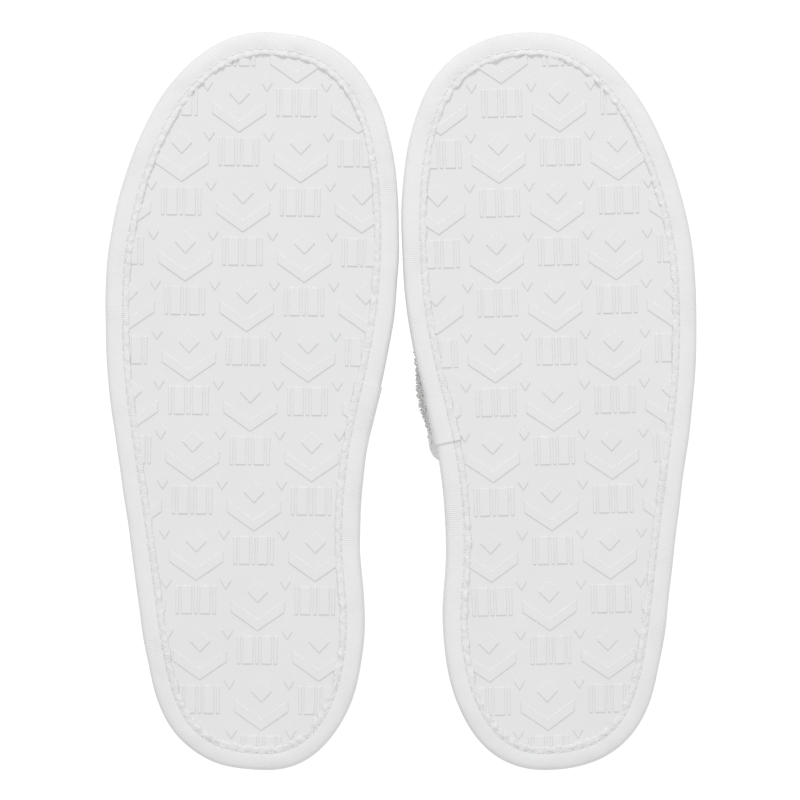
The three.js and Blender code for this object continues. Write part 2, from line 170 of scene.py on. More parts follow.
def slipperCentre(hand):
    low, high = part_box(f"{hand}_sole_binding")
    plan = turned(hand, edge["points"])
    middle = (plan.min(axis=0) + plan.max(axis=0)) / 2
    return np.array([(low[k] + high[k]) / 2 / mm - middle[k] for k in (0, 1)])


centres = {hand: slipperCentre(hand) for hand in hands}


# From one slipper's own millimetres to the frame's metres.
def placed(hand, points):
    plan = turned(hand, points[..., :2]) + centres[hand]
    return np.concatenate([plan, points[..., 2:]], axis=-1) * mm


def heightOf(node, corner):
    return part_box(node)[corner][2] / mm


levels = {
    "lugFace": 0.1,
    "panelUnder": 0.55,
    "marginUnder": 1.2,
    "outsoleTop": heightOf("right_midsole", 0),
    "footbedUnder": heightOf("right_footbed_cover", 0),
    "footbedTop": heightOf("right_footbed_cover", 1),
}


def gridFaces(rows, columns, start=0, wrapRows=False, wrapColumns=False, flip=False):
    lastRow = rows if wrapRows else rows - 1
    lastColumn = columns if wrapColumns else columns - 1
    r, c = np.meshgrid(np.arange(lastRow), np.arange(lastColumn), indexing="ij")
    r2, c2 = (r + 1) % rows, (c + 1) % columns
    corners = [r * columns + c, r2 * columns + c, r2 * columns + c2, r * columns + c2]
    faces = np.stack(corners, axis=-1).reshape(-1, 4) + start
    return faces[:, ::-1] if flip else faces


def stripFaces(one, other, flip=False):
    one, other = np.asarray(one), np.asarray(other)
    faces = np.stack([one[:-1], other[:-1], other[1:], one[1:]], axis=-1)
    return faces[:, ::-1] if flip else faces


def fanFaces(tip, line, flip=False):
    line = np.asarray(line)
    faces = np.stack([np.full(len(line) - 1, tip), line[:-1], line[1:]], axis=-1)
    return faces[:, ::-1] if flip else faces


def signedVolume(points, faces):
    total = 0.0
    for quad in faces:
        a = points[quad[:, 0]]
        for k in range(1, quad.shape[1] - 1):
            b, c = points[quad[:, k]], points[quad[:, k + 1]]
            total += np.einsum("ij,ij->i", a, np.cross(b, c)).sum()
    return total


# faces is a list of arrays, each with faces of one size; uv has one row for each face corner.
def newMesh(name, points, faces, uv=None, closed=True):
    points = np.asarray(points, dtype=float)
    if closed and signedVolume(points, faces) < 0:
        faces = [block[:, ::-1] for block in faces]
        uv = None if uv is None else [block[:, ::-1] for block in uv]
    mesh = bpy.data.meshes.new(name)
    sizes = np.concatenate([np.full(len(block), block.shape[1]) for block in faces])
    loops = np.concatenate([block.ravel() for block in faces])
    mesh.vertices.add(len(points))
    mesh.vertices.foreach_set("co", points.ravel())
    mesh.loops.add(len(loops))
    mesh.loops.foreach_set("vertex_index", loops.astype(np.int32))
    mesh.polygons.add(len(sizes))
    starts = np.concatenate([[0], np.cumsum(sizes)[:-1]])
    mesh.polygons.foreach_set("loop_start", starts.astype(np.int32))
    mesh.update(calc_edges=True)
    if uv is not None:
        layer = mesh.uv_layers.new(name="run")
        values = np.concatenate([block.reshape(-1, 2) for block in uv])
        layer.data.foreach_set("uv", values.ravel())
    mesh.validate()
    mesh.shade_smooth()
    return mesh


def newPiece(name, mesh, finish=None):
    piece = bpy.data.objects.new(name, mesh)
    bpy.context.scene.collection.objects.link(piece)
    if finish:
        mesh.materials.clear()
        mesh.materials.append(finish)
    return piece


# How far along and across each corner of a grid's faces lies.
def gridUv(rowRuns, columnRuns):
    r, c = np.meshgrid(np.arange(len(rowRuns) - 1), np.arange(len(columnRuns) - 1), indexing="ij")
    corners = [(r, c), (r + 1, c), (r + 1, c + 1), (r, c + 1)]
    return np.stack([np.stack([rowRuns[a], columnRuns[b]], axis=-1) for a, b in corners],
                    axis=2).reshape(-1, 4, 2)


class Wire:
    def __init__(self, finish, socket):
        self.finish = finish
        self.socket = socket

    def __add__(self, other):
        return self.finish.maths("ADD", self, other)

    def __radd__(self, other):
        return self.finish.maths("ADD", other, self)

    def __sub__(self, other):
        return self.finish.maths("SUBTRACT", self, other)

    def __rsub__(self, other):
        return self.finish.maths("SUBTRACT", other, self)

    def __mul__(self, other):
        return self.finish.maths("MULTIPLY", self, other)

    def __rmul__(self, other):
        return self.finish.maths("MULTIPLY", other, self)

    def sine(self):
        return self.finish.maths("SINE", self)

    def out(self, name):
        return Wire(self.finish, self.socket.node.outputs[name])


class Finish:
    def __init__(self, name, roughness=0.5):
        self.material = bpy.data.materials.new(name)
        self.material.use_nodes = True
        self.tree = self.material.node_tree
        self.shader = self.tree.nodes["Principled BSDF"]
        self.shader.inputs["Roughness"].default_value = roughness

    def feed(self, socket, value):
        if isinstance(value, Wire):
            self.tree.links.new(value.socket, socket)
        elif value is not None:
            socket.default_value = value

    def node(self, kind, settings=None, values=None, output=0):
        made = self.tree.nodes.new(kind)
        for key, value in (settings or {}).items():
            setattr(made, key, value)
        for key, value in (values or {}).items():
            self.feed(made.inputs[key], value)
        return Wire(self, made.outputs[output])

    def maths(self, operation, *values):
        return self.node("ShaderNodeMath", {"operation": operation}, dict(enumerate(values)))

    def place(self):
        return self.node("ShaderNodeTexCoord", output="Object")

    def run(self):
        at = self.node("ShaderNodeUVMap", {"uv_map": "run"})
        return self.node("ShaderNodeSeparateXYZ", None, {0: at})

    def noise(self, scale, detail=2, roughness=0.5):
        values = {"Vector": self.place(), "Scale": scale, "Detail": detail, "Roughness": roughness}
        return self.node("ShaderNodeTexNoise", None, values)

    def cells(self, scale):
        return self.node("ShaderNodeTexVoronoi", None, {"Vector": self.place(), "Scale": scale})

    def mix(self, amount, low, high):
        low = (*low, 1) if isinstance(low, tuple) else low
        high = (*high, 1) if isinstance(high, tuple) else high
        values = {0: amount, 6: low, 7: high}
        return self.node("ShaderNodeMix", {"data_type": "RGBA"}, values, output=2)

    def colour(self, wire):
        self.feed(self.shader.inputs["Base Color"], wire)

    def roughness(self, wire):
        self.feed(self.shader.inputs["Roughness"], wire)

    # 1 in the middle of a spot that repeats along a run, falling to 0 at its rim. The tape uses it to place
    # painted shade in its needle holes.
    def needleHoles(self, along, across, pitch, line, radius):
        turn = self.maths("WRAP", along, pitch / 2, -pitch / 2)
        off = across - line
        away = self.maths("SQRT", turn * turn + off * off)
        values = {0: away, 1: radius * 0.35, 2: radius, 3: 1.0, 4: 0.0}
        return self.node("ShaderNodeMapRange", {"interpolation_type": "SMOOTHSTEP"}, values)

    def relief(self, height, depth, under=None, strength=1.0):
        values = {"Height": height, "Distance": depth, "Strength": strength, "Normal": under}
        bump = self.node("ShaderNodeBump", None, values)
        self.feed(self.shader.inputs["Normal"], bump)
        return bump


def mouldedSheet():
    f = Finish("moulded sheet")
    f.colour(f.mix(f.noise(28, 3), (0.815, 0.819, 0.818), (0.85, 0.853, 0.852)))
    f.roughness(f.noise(60, 2) * 0.14 + 0.40)
    sag = f.relief(f.noise(55, 1), 0.0004)
    f.relief(f.noise(1500, 3, roughness=0.7), 0.00004, sag, 0.6)
    return f.material


def seamThread():
    f = Finish("seam thread")
    twist = f.node("ShaderNodeTexWave", {"bands_direction": "DIAGONAL"},
                   {"Vector": f.place(), "Scale": 900, "Distortion": 2})
    # Painted shade: the thread is darker in the grooves of its twist, where the bump sinks.
    f.colour(f.mix(twist, (0.80, 0.81, 0.81), (0.92, 0.92, 0.915)))
    f.roughness(f.noise(120) * 0.1 + 0.5)
    f.relief(twist, 0.00006)
    return f.material


def terryGround():
    f = Finish("terry ground")
    f.colour(f.mix(f.noise(500, 3), (0.82, 0.822, 0.815), (0.90, 0.90, 0.892)))
    f.roughness(f.noise(80) * 0.05 + 0.92)
    f.relief(f.cells(800), 0.0004)
    return f.material


def terryLoops():
    f = Finish("terry loops")
    patch = f.mix(f.noise(38, 3), (0.905, 0.906, 0.90), (0.95, 0.95, 0.944))
    f.colour(f.mix(f.noise(1100, 2), (0.86, 0.862, 0.857), patch))
    f.roughness(f.noise(150) * 0.06 + 0.9)
    f.relief(f.noise(4200, 2), 0.00006)
    f.shader.inputs["Sheen Weight"].default_value = 0.3
    return f.material


def liningCloth():
    f = Finish("lining cloth")
    run = f.run()
    along, across = run.out("X"), run.out("Y")
    weave = ((along * (2 * math.pi / 0.0009)).sine() * (across * (2 * math.pi / 0.0009)).sine())
    f.colour(f.mix(f.noise(70, 3), (0.80, 0.802, 0.795), (0.87, 0.87, 0.862)))
    f.roughness(f.noise(90) * 0.08 + 0.84)
    f.relief(weave * 0.5 + f.noise(1800, 2), 0.00012)
    return f.material


def closedFoam():
    f = Finish("closed-cell board")
    # Painted shade: the board is darker in the pits of its cells, where the bump sinks.
    f.colour(f.mix(f.cells(1400), (0.78, 0.77, 0.73), (0.86, 0.85, 0.82)))
    f.roughness(f.noise(90) * 0.1 + 0.75)
    f.relief(f.cells(1400), 0.0001)
    return f.material


def softFoam():
    f = Finish("soft foam")
    # Painted shade: the foam is darker in the pits of its cells, where the bump sinks.
    f.colour(f.mix(f.cells(900), (0.80, 0.77, 0.68), (0.90, 0.875, 0.79)))
    f.roughness(f.noise(90) * 0.08 + 0.86)
    f.relief(f.cells(900), 0.0002)
    return f.material


finishes = {
    "sheet": mouldedSheet(),
    "thread": seamThread(),
    "ground": terryGround(),
    "loops": terryLoops(),
    "lining": liningCloth(),
    "board": closedFoam(),
    "foam": softFoam(),
}
say("materials made")


class Repeat:
    def __init__(self, name):
        self.tree = bpy.data.node_groups.new(name, "GeometryNodeTree")
        self.tree.interface.new_socket("Geometry", in_out="INPUT", socket_type="NodeSocketGeometry")
        self.tree.interface.new_socket("Geometry", in_out="OUTPUT", socket_type="NodeSocketGeometry")
        self.sockets = {}
        self.entry = self.tree.nodes.new("NodeGroupInput")
        self.exit = self.tree.nodes.new("NodeGroupOutput")

    def ask(self, name, kind):
        socket = self.tree.interface.new_socket(name, in_out="INPUT", socket_type="NodeSocket" + kind)
        self.sockets[name] = socket.identifier
        return self.given(name)

    def given(self, name):
        return self.entry.outputs[name]

    def node(self, kind, settings=None, values=None):
        made = self.tree.nodes.new(kind)
        for key, value in (settings or {}).items():
            setattr(made, key, value)
        for key, value in (values or {}).items():
            self.feed(made.inputs[key], value)
        return made.outputs

    def feed(self, socket, value):
        for one in value if isinstance(value, list) else [value]:
            if isinstance(one, bpy.types.NodeSocket):
                self.tree.links.new(one, socket)
            else:
                socket.default_value = one

    def maths(self, operation, first, second=0.0):
        return self.node("ShaderNodeMath", {"operation": operation}, {0: first, 1: second})[0]

    def end(self, geometry):
        real = self.node("GeometryNodeRealizeInstances", None, {0: geometry})[0]
        given = {"Geometry": real, "Material": self.given("Material")}
        painted = self.node("GeometryNodeSetMaterial", None, given)[0]
        self.feed(self.exit.inputs[0], painted)

    def use(self, carrier, values, name):
        modifier = carrier.modifiers.new(self.tree.name, "NODES")
        modifier.node_group = self.tree
        for key, value in values.items():
            modifier[self.sockets[key]] = value
        bpy.context.view_layer.update()
        seen = carrier.evaluated_get(bpy.context.evaluated_depsgraph_get())
        mesh = bpy.data.meshes.new_from_object(seen)
        mesh.name = name
        carrier.modifiers.remove(modifier)
        bpy.data.objects.remove(carrier)
        return mesh


def objectGeometry(tree, name):
    wanted = {"Object": tree.given(name)}
    return tree.node("GeometryNodeObjectInfo", {"transform_space": "ORIGINAL"}, wanted)["Geometry"]


# A Stitch on each of the carrier's points, lying along its "along" and standing on its "up".
def stitchTree():
    tree = Repeat("stitch row")
    tree.ask("Stitch", "Object")
    tree.ask("Material", "Material")
    row = tree.node("GeometryNodeMeshToPoints", None, {0: tree.given("Geometry")})[0]
    up, along = (tree.node("GeometryNodeInputNamedAttribute", {"data_type": "FLOAT_VECTOR"},
                           {"Name": name})[0] for name in ("up", "along"))
    stand = tree.node("FunctionNodeAlignRotationToVector", {"axis": "Z"}, {"Vector": up})[0]
    face = tree.node("FunctionNodeAlignRotationToVector", {"axis": "X", "pivot_axis": "Z"},
                     {"Rotation": stand, "Vector": along})[0]
    wobble = tree.node("FunctionNodeRandomValue", {"data_type": "FLOAT"},
                       {2: 0.93, 3: 1.05, "Seed": 3})[1]
    copies = tree.node("GeometryNodeInstanceOnPoints", None, {
        "Points": row, "Instance": objectGeometry(tree, "Stitch"),
        "Rotation": face, "Scale": wobble})[0]
    tree.end(copies)
    return tree


# Loops of pile standing all over the carrier, each turned and tilted its own way.
def pileTree():
    tree = Repeat("terry pile")
    tree.ask("Spacing", "Float")
    tree.ask("Loop", "Object")
    tree.ask("Material", "Material")
    spread = tree.node("GeometryNodeDistributePointsOnFaces", {"distribute_method": "POISSON"}, {
        "Mesh": tree.given("Geometry"), "Distance Min": tree.given("Spacing"),
        "Density Max": 3.0e6, "Seed": 11})
    tilt = tree.node("FunctionNodeRandomValue", {"data_type": "FLOAT_VECTOR"},
                     {0: (-0.55, -0.55, 0.0), 1: (0.55, 0.55, 6.283), "Seed": 5})[0]
    stand = tree.node("FunctionNodeRotateRotation", {"rotation_space": "LOCAL"},
                      {0: spread["Rotation"], 1: tilt})[0]
    size = tree.node("FunctionNodeRandomValue", {"data_type": "FLOAT"},
                     {2: 0.78, 3: 1.2, "Seed": 8})[1]
    copies = tree.node("GeometryNodeInstanceOnPoints", None, {
        "Points": spread["Points"], "Instance": objectGeometry(tree, "Loop"),
        "Rotation": stand, "Scale": size})[0]
    tree.end(copies)
    return tree


# The tread's cell in half-drop columns, trimmed to Panel and joined to the carrier's sheet.
def treadTree():
    tree = Repeat("tread")
    for name in ("Column Pitch", "Row Pitch", "Slope", "Side", "Turn"):
        tree.ask(name, "Float")
    tree.ask("Columns", "Int")
    tree.ask("Rows", "Int")
    tree.ask("Centre", "Vector")
    tree.ask("Cell", "Object")
    tree.ask("Panel", "Object")
    tree.ask("Material", "Material")
    width, height = (
        tree.maths("MULTIPLY", tree.given(pitch), tree.maths("SUBTRACT", tree.given(count), 1.0))
        for pitch, count in (("Column Pitch", "Columns"), ("Row Pitch", "Rows")))
    lattice = tree.node("GeometryNodeMeshGrid", None, {
        "Size X": width, "Size Y": height,
        "Vertices X": tree.given("Columns"), "Vertices Y": tree.given("Rows")})[0]
    at = tree.node("ShaderNodeSeparateXYZ", None, {0: tree.node("GeometryNodeInputPosition")[0]})
    column = tree.maths("ROUND", tree.maths("DIVIDE", at["X"], tree.given("Column Pitch")))
    odd = tree.maths("FLOORED_MODULO", column, 2.0)
    drop = tree.maths("MULTIPLY", odd, tree.maths("MULTIPLY", tree.given("Row Pitch"), 0.5))
    y = tree.maths("ADD", at["Y"], drop)
    lean = tree.maths("ADD", at["X"], tree.maths("MULTIPLY", y, tree.given("Slope")))
    x = tree.maths("MULTIPLY", lean, tree.given("Side"))
    spot = tree.node("ShaderNodeCombineXYZ", None, {"X": x, "Y": y})[0]
    points = tree.node("GeometryNodeSetPosition", None, {"Geometry": lattice, "Position": spot})[0]
    copies = tree.node("GeometryNodeInstanceOnPoints", None,
                       {"Points": points, "Instance": objectGeometry(tree, "Cell")})[0]
    solid = tree.node("GeometryNodeRealizeInstances", None, {0: copies})[0]
    turn = tree.node("ShaderNodeCombineXYZ", None, {"Z": tree.given("Turn")})[0]
    there = tree.node("GeometryNodeTransform", None, {
        "Geometry": solid, "Translation": tree.given("Centre"), "Rotation": turn})[0]
    trimmed = tree.node("GeometryNodeMeshBoolean", {"operation": "INTERSECT", "solver": "MANIFOLD"},
                        {"Mesh 2": [there, objectGeometry(tree, "Panel")]})[0]
    joined = tree.node("GeometryNodeMeshBoolean", {"operation": "UNION", "solver": "MANIFOLD"},
                       {"Mesh 2": [trimmed, tree.given("Geometry")]})[0]
    tree.end(joined)
    return tree


trees = {"stitch": stitchTree(), "pile": pileTree(), "tread": treadTree()}
say("node trees made")


tread = {
    "columnPitch": 23.3,
    "rowPitch": 39,
    "lean": 2.7,
    "chevronReach": 10.6,
    "chevronDepth": 7.4,
    "chevronBand": 4.6,
    "lozengeWidth": 8.4,
    "lozengeHeight": 8.8,
    "lozengeRise": 3.4,
    "gripBars": [(-7.2, 1.4), (-3.6, 4.2), (0, 1.4), (3.6, 4.2), (7.2, 1.4)],  # middle, width
    "barLength": 11,
    "barGap": 2,
    "studWidth": 4.4,
    "studHeight": 7,
    "studDrop": 12,
    "panelInset": 9.0,
    "softening": 0.27,
    "sunk": 0.25,  # how deep the raised shapes' roots go into the sheet
    "edgeStations": 720,
}


def diamond(x, y, width, height):
    return [(x - width / 2, y), (x, y + height / 2), (x + width / 2, y), (x, y - height / 2)]


def cellOutlines(t):
    reach, depth, band = t["chevronReach"], t["chevronDepth"], t["chevronBand"]
    chevron = [(-reach, 0), (0, depth), (reach, 0), (reach, band), (0, depth + band), (-reach, band)]
    lozenge = diamond(0, -t["lozengeRise"], t["lozengeWidth"], t["lozengeHeight"])
    studs = [diamond(way * t["columnPitch"] / 2, t["studDrop"], t["studWidth"], t["studHeight"])
             for way in (-1, 1)]
    head = depth + band + t["barGap"]
    foot = head + t["barLength"]
    bars = []
    for middle, width in t["gripBars"]:
        near, far = middle - width / 2, middle + width / 2
        bars.append([(near, head), (far, head), (far, foot), (near, foot)])
    return [chevron, lozenge, *bars, *studs]


# One cell's raised shapes, their faces at the floor and their edges a little softened.
def treadCell(t):
    shape = bmesh.new()
    root = levels["panelUnder"] + t["sunk"]
    for outline in cellOutlines(t):
        low = [shape.verts.new((x * mm, y * mm, levels["lugFace"] * mm)) for x, y in outline]
        high = [shape.verts.new((x * mm, y * mm, root * mm)) for x, y in outline]
        shape.faces.new(low)
        shape.faces.new(high)
        for k in range(len(low)):
            n = (k + 1) % len(low)
            shape.faces.new((low[k], low[n], high[n], high[k]))
    bmesh.ops.recalc_face_normals(shape, faces=shape.faces)
    soft = [e for e in shape.edges if min(v.co.z for v in e.verts) < levels["lugFace"] * 2 * mm]
    bmesh.ops.bevel(shape, geom=soft, offset=t["softening"] * mm, offset_type="OFFSET", segments=1,
                    affect="EDGES", clamp_overlap=True)
    mesh = bpy.data.meshes.new("tread cell")
    shape.to_mesh(mesh)
    shape.free()
    return newPiece("tread cell", mesh)


# A slab with the sole's outline, its rings given as (inset, height above the floor).
def slabMesh(name, hand, rings):
    count = tread["edgeStations"]
    share = np.arange(count) / count
    loops = []
    for inset, z in rings:
        plan = edgeAt(share, inset)
        loops.append(placed(hand, np.concatenate([plan, np.full((count, 1), z)], axis=1)))
    points = np.vstack(loops)
    walls = gridFaces(len(rings), count, wrapColumns=True)
    bottom = np.arange(count)[None, :]
    top = (np.arange(count) + count * (len(rings) - 1))[None, :]
    return newMesh(name, points, [walls, bottom, top[:, ::-1]])


def mouldedSole(hand):
    t = tread
    rings = [
        (t["panelInset"] + 0.3, levels["panelUnder"]),
        (t["panelInset"] - 0.4, levels["marginUnder"]),
        (soleShape["coreInset"], levels["marginUnder"]),
        (soleShape["coreInset"], levels["outsoleTop"]),
    ]
    carrier = newPiece("sheet", slabMesh("sheet", hand, rings))
    panelRings = [(t["panelInset"], -1), (t["panelInset"], levels["panelUnder"] + 2 * t["sunk"])]
    panel = newPiece("panel", slabMesh("panel", hand, panelRings))
    cell = treadCell(t)
    columns = 2 * math.ceil(soleShape["ballWidth"] / 2 / t["columnPitch"]) + 3
    rows = 2 * math.ceil(soleShape["length"] / 2 / t["rowPitch"]) + 3
    values = {
        "Column Pitch": t["columnPitch"] * mm,
        "Row Pitch": t["rowPitch"] * mm,
        "Slope": math.tan(math.radians(t["lean"])),
        "Side": float(hands[hand]),
        "Turn": math.radians(soleShape["toeIn"][hand]) * hands[hand],
        "Columns": columns,
        "Rows": rows,
        "Centre": (*(centres[hand] * mm), 0.0),
        "Cell": cell,
        "Panel": panel,
        "Material": finishes["sheet"],
    }
    mesh = trees["tread"].use(carrier, values, f"{hand}_moulded_sole")
    bpy.data.objects.remove(panel)
    bpy.data.objects.remove(cell)
    mesh.shade_smooth()
    mesh.set_sharp_from_angle(angle=math.radians(20))
    settle(newPiece(f"{hand}_moulded_sole", mesh), hand, [f"{hand}_outsole"])


# Rides a piece on its slipper and hides the solids it stands in for.
def settle(piece, hand, replaced=()):
    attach(piece, f"{hand}_slipper")
    if replaced:
        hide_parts(*replaced)
    return piece


for hand in hands:
    mouldedSole(hand)
say("moulded soles made")


upper = {
    "seamInset": 9.4,
    "flangeInset": 2.2,
    "flangeThick": 1.2,
    "toeBoxHeight": 27,
    "instepHeight": 48,
    "toeRoundingShare": 0.34,
    "throatSideFromToe": 172,
    "throatTopFromToe": 136,
    "archSquareness": 2.4,
    "bulgeSlant": 0.8,
    "throatSlant": 1.6,
    "sideBulge": {"right": (7.5, 7), "left": (15.6, 7)},
    "mouthSwell": (0.94, 0.15, 0.9, 0.06),  # share elsewhere, share added, where, over how much
    "coverDepths": (0.6, 1.35),
    "foamDepths": (1.5, 2.9),
    "liningDepths": (3.0, 3.6),
    "flangeRampShare": 0.012,  # of the edge, over which the tape comes down past the opening
    "flangeLevelShare": 0.25,  # of that ramp, before it starts down
    "clothRun": 190,  # of cloth from the toe to the foot opening, and over the instep
    "clothGirth": 150,
}

innerThroat = shareBehindToe(upper["throatSideFromToe"], True)
outerThroat = shareBehindToe(upper["throatSideFromToe"], False)


def flangeCover(share):
    ramp = upper["flangeRampShare"]
    level = upper["flangeLevelShare"]
    pastInner = (share - innerThroat) / ramp - level
    beforeOuter = (outerThroat - share) / ramp - level
    return 1 - smoothStep(0, 1, np.minimum(pastInner, beforeOuter))


tape = {
    "underReach": 9.8,
    "topReach": 8.5,
    "seamInset": 7.2,
    "stations": 1500,
    "ruffle": 0.44,
    "stitchPitch": 4.4,
    "holeAt": 3.15,  # along the section from the under side's free edge
    "threadUnder": 0.29,  # above the floor
    "threadOver": 0.62,   # above the footbed or the upper's turned-out edge
    "lapLift": 0.6,
    "lapFade": 18,
    "ribPitch": 0.78,
    "threadPitch": 0.5,
    "holeWidth": 0.6,
    "lapAt": {"right": (139, -1), "left": (161, 1)},  # behind the toe; which way the upper end runs
}
# A whole number of stitches goes round the edge.
tape["stitchPitch"] = edge["length"] / round(edge["length"] / tape["stitchPitch"])


def ribbedTape():
    f = Finish("ribbed tape")
    run = f.run()
    along, across = run.out("X"), run.out("Y")
    sway = f.noise(240, 2) * 0.7
    ribs = (along * (2 * math.pi / (tape["ribPitch"] * mm)) + sway).sine()
    picks = (across * (2 * math.pi / (tape["threadPitch"] * mm)) + sway).sine()
    patches = (f.noise(70, 3) - 0.37) * 3.2
    weave = (ribs * 0.6 + picks * 0.2) * patches + 0.5
    tone = f.mix(f.noise(45, 3), (0.872, 0.876, 0.875), (0.905, 0.908, 0.907))
    # Painted shade: the needle holes are painted darker, standing in for the shade inside them.
    holeShade = f.needleHoles(along, across, tape["stitchPitch"] * mm, tape["holeAt"] * mm,
                          tape["holeWidth"] / 2 * mm)
    # Painted shade: the colour is darker in the valleys between the weave's ribs and picks, where the bump
    # sinks.
    f.colour(f.mix(holeShade, f.mix(weave * 0.2 + 0.8, (0.68, 0.685, 0.685), tone), (0.6, 0.605, 0.6)))
    f.roughness(f.noise(90, 2) * 0.1 + 0.78)
    fuzz = f.relief(f.noise(2600, 2), 0.00003)
    frill = f.node("ShaderNodeMapRange", None, {0: across, 1: 0.0026, 2: 0.0034, 3: 1.0, 4: 0.0})
    puckers = f.relief(f.noise(620, 3, roughness=0.6) * frill, 0.0006, fuzz, 0.9)
    f.relief(weave, 0.0001, puckers, 0.75)
    f.shader.inputs["Sheen Weight"].default_value = 0.15
    return f.material


finishes["tape"] = ribbedTape()


# The folded tape's section: (inset, height above the floor, height above its seat, looseness).
# A height is one or the other; looseness is how freely that point ruffles.
def tapeSection(t):
    under, top, seam = t["underReach"], t["topReach"], t["seamInset"]
    outside = [
        (under, 0.42, 0, 1.0), (under - 0.2, -0.1, 0, 1.0), (under - 0.8, -0.3, 0, 0.8),
        (seam + 1.0, -0.1, 0, 0.75), (seam + 0.45, 0.03, 0, 0.1), (seam, 0.12, 0, 0),
        (seam - 0.45, 0.09, 0, 0), (seam - 1.1, 0.03, 0, 0), (seam - 2.4, 0.0, 0, 0),
        (seam - 3.8, 0.14, 0, 0), (2.0, 0.4, 0, 0), (1.0, 0.85, 0, 0), (0.4, 1.6, 0, 0),
        (0.1, 2.9, 0, 0), (0.0, 0, -5.2, 0), (0.3, 0, -2.6, 0), (0.95, 0, -1.0, 0),
        (1.9, 0, 0.15, 0), (3.2, 0, 0.95, 0), (4.6, 0, 1.25, 0), (5.8, 0, 1.15, 0),
        (seam - 0.5, 0, 0.75, 0), (seam, 0, 0.5, 0), (seam + 0.4, 0, 0.8, 0.2),
        (top - 0.5, 0, 1.25, 0.8), (top, 0, 1.0, 1.0),
    ]
    inside = [
        (top - 0.05, 0, 0.5, 1.0), (seam, 0, 0.08, 0), (4.2, 0, 0.1, 0), (2.3, 0, 0.05, 0),
        (1.1, 0, -0.9, 0), (0.75, 0, -3.0, 0), (0.75, 4.4, 0, 0), (1.1, 1.9, 0, 0),
        (2.2, 1.17, 0, 0), (4.6, 1.14, 0, 0), (seam, 1.16, 0, 0), (under - 0.6, 1.1, 0, 0.6),
    ]
    return np.array(outside + inside), len(outside)


def tapeLoops(hand, t, rows):
    section, outsideCount = tapeSection(t)
    share = rows / t["stations"]
    run = share * edge["length"]
    seat = levels["footbedTop"] + upper["flangeThick"] * flangeCover(np.mod(share, 1))
    inset = np.repeat(section[None, :, 0], len(rows), axis=0)
    fromSeat = section[:, 2] != 0
    z = np.where(fromSeat[None, :], seat[:, None] + section[None, :, 2], section[None, :, 1])
    loose = section[None, :, 3]
    circle = np.stack([np.cos(2 * math.pi * share), np.sin(2 * math.pi * share)], axis=-1)
    circle *= edge["length"] / (2 * math.pi)
    tight = 0.5 + 0.5 * np.abs(np.cos(2 * math.pi * share)) ** 1.5
    seed = seeds[hand]["tape"]
    inOut = ripple(circle, 21 + seed, 8.5, 9) * 0.5 + ripple(circle, 22 + seed, 3.0, 9) * 0.5
    upDown = ripple(circle, 23 + seed, 6.0, 9) * 0.65 + ripple(circle, 24 + seed, 3.2, 9) * 0.35
    topInOut = ripple(circle, 25 + seed, 7.0, 9)
    under = (~fromSeat)[None, :]
    sway = np.where(under, inOut[:, None], topInOut[:, None])
    inset = inset + np.maximum(sway * loose * (t["ruffle"] * tight)[:, None], -0.45)
    z = z + upDown[:, None] * loose * (t["ruffle"] * 0.95 * tight)[:, None] * np.where(under, 1, 0.6)
    phase = 2 * math.pi * run / t["stitchPitch"]
    pull = (0.5 + 0.5 * np.cos(phase)) ** 4
    nearSeam = np.exp(-((inset - t["seamInset"]) / 0.55) ** 2)
    puff = np.exp(-((inset - t["seamInset"] + 1.6) / 1.4) ** 2)
    depth = pull[:, None] * nearSeam * 0.14 - pull[:, None] * puff * 0.05
    outside = (np.arange(len(section)) < outsideCount)[None, :]
    z = z + np.where(outside, np.where(under, depth, -depth), 0)
    body = ripple(circle, 31 + seed, 26, 7) * 0.12
    inset = inset - outside * body[:, None] * np.exp(-inset / 3)
    around = np.broadcast_to(circle[:, None, :], inset.shape + (2,))
    cloth = np.concatenate([around, inset[..., None] * 1.6], axis=-1)
    wrinkle = ripple(cloth, 35 + seed, 13, 8) * (0.05 + 0.07 * tight ** 2)[:, None]
    flat = np.exp(-((inset - 4.3) / 2.2) ** 2) * outside
    z = z + np.where(under, -wrinkle, wrinkle) * flat
    lift = lapLift(hand, t, share)
    outward = sectionOutward(inset, z)
    inset = inset + outward[..., 0] * lift[:, None] * outside
    z = z + outward[..., 1] * lift[:, None] * outside
    plan = edgeAt(share[:, None], inset)
    return placed(hand, np.concatenate([plan, z[..., None]], axis=-1)), run


# How far the tape's upper end stands off the lower one, either side of the lap's edge.
def lapLift(hand, t, share):
    fromToe, way = t["lapAt"][hand]
    lapShare = shareBehindToe(fromToe, True)
    past = (lapShare - share) * edge["length"] * way
    return np.where((past > 0) & (past < t["lapFade"]), t["lapLift"] * (1 - past / t["lapFade"]) ** 0.7, 0)


def sectionOutward(inset, z):
    x1, x0 = np.roll(inset, -1, axis=1), np.roll(inset, 1, axis=1)
    z1, z0 = np.roll(z, -1, axis=1), np.roll(z, 1, axis=1)
    along = unit(np.stack([x1 - x0, z1 - z0], axis=-1))
    return np.stack([-along[..., 1], along[..., 0]], axis=-1)


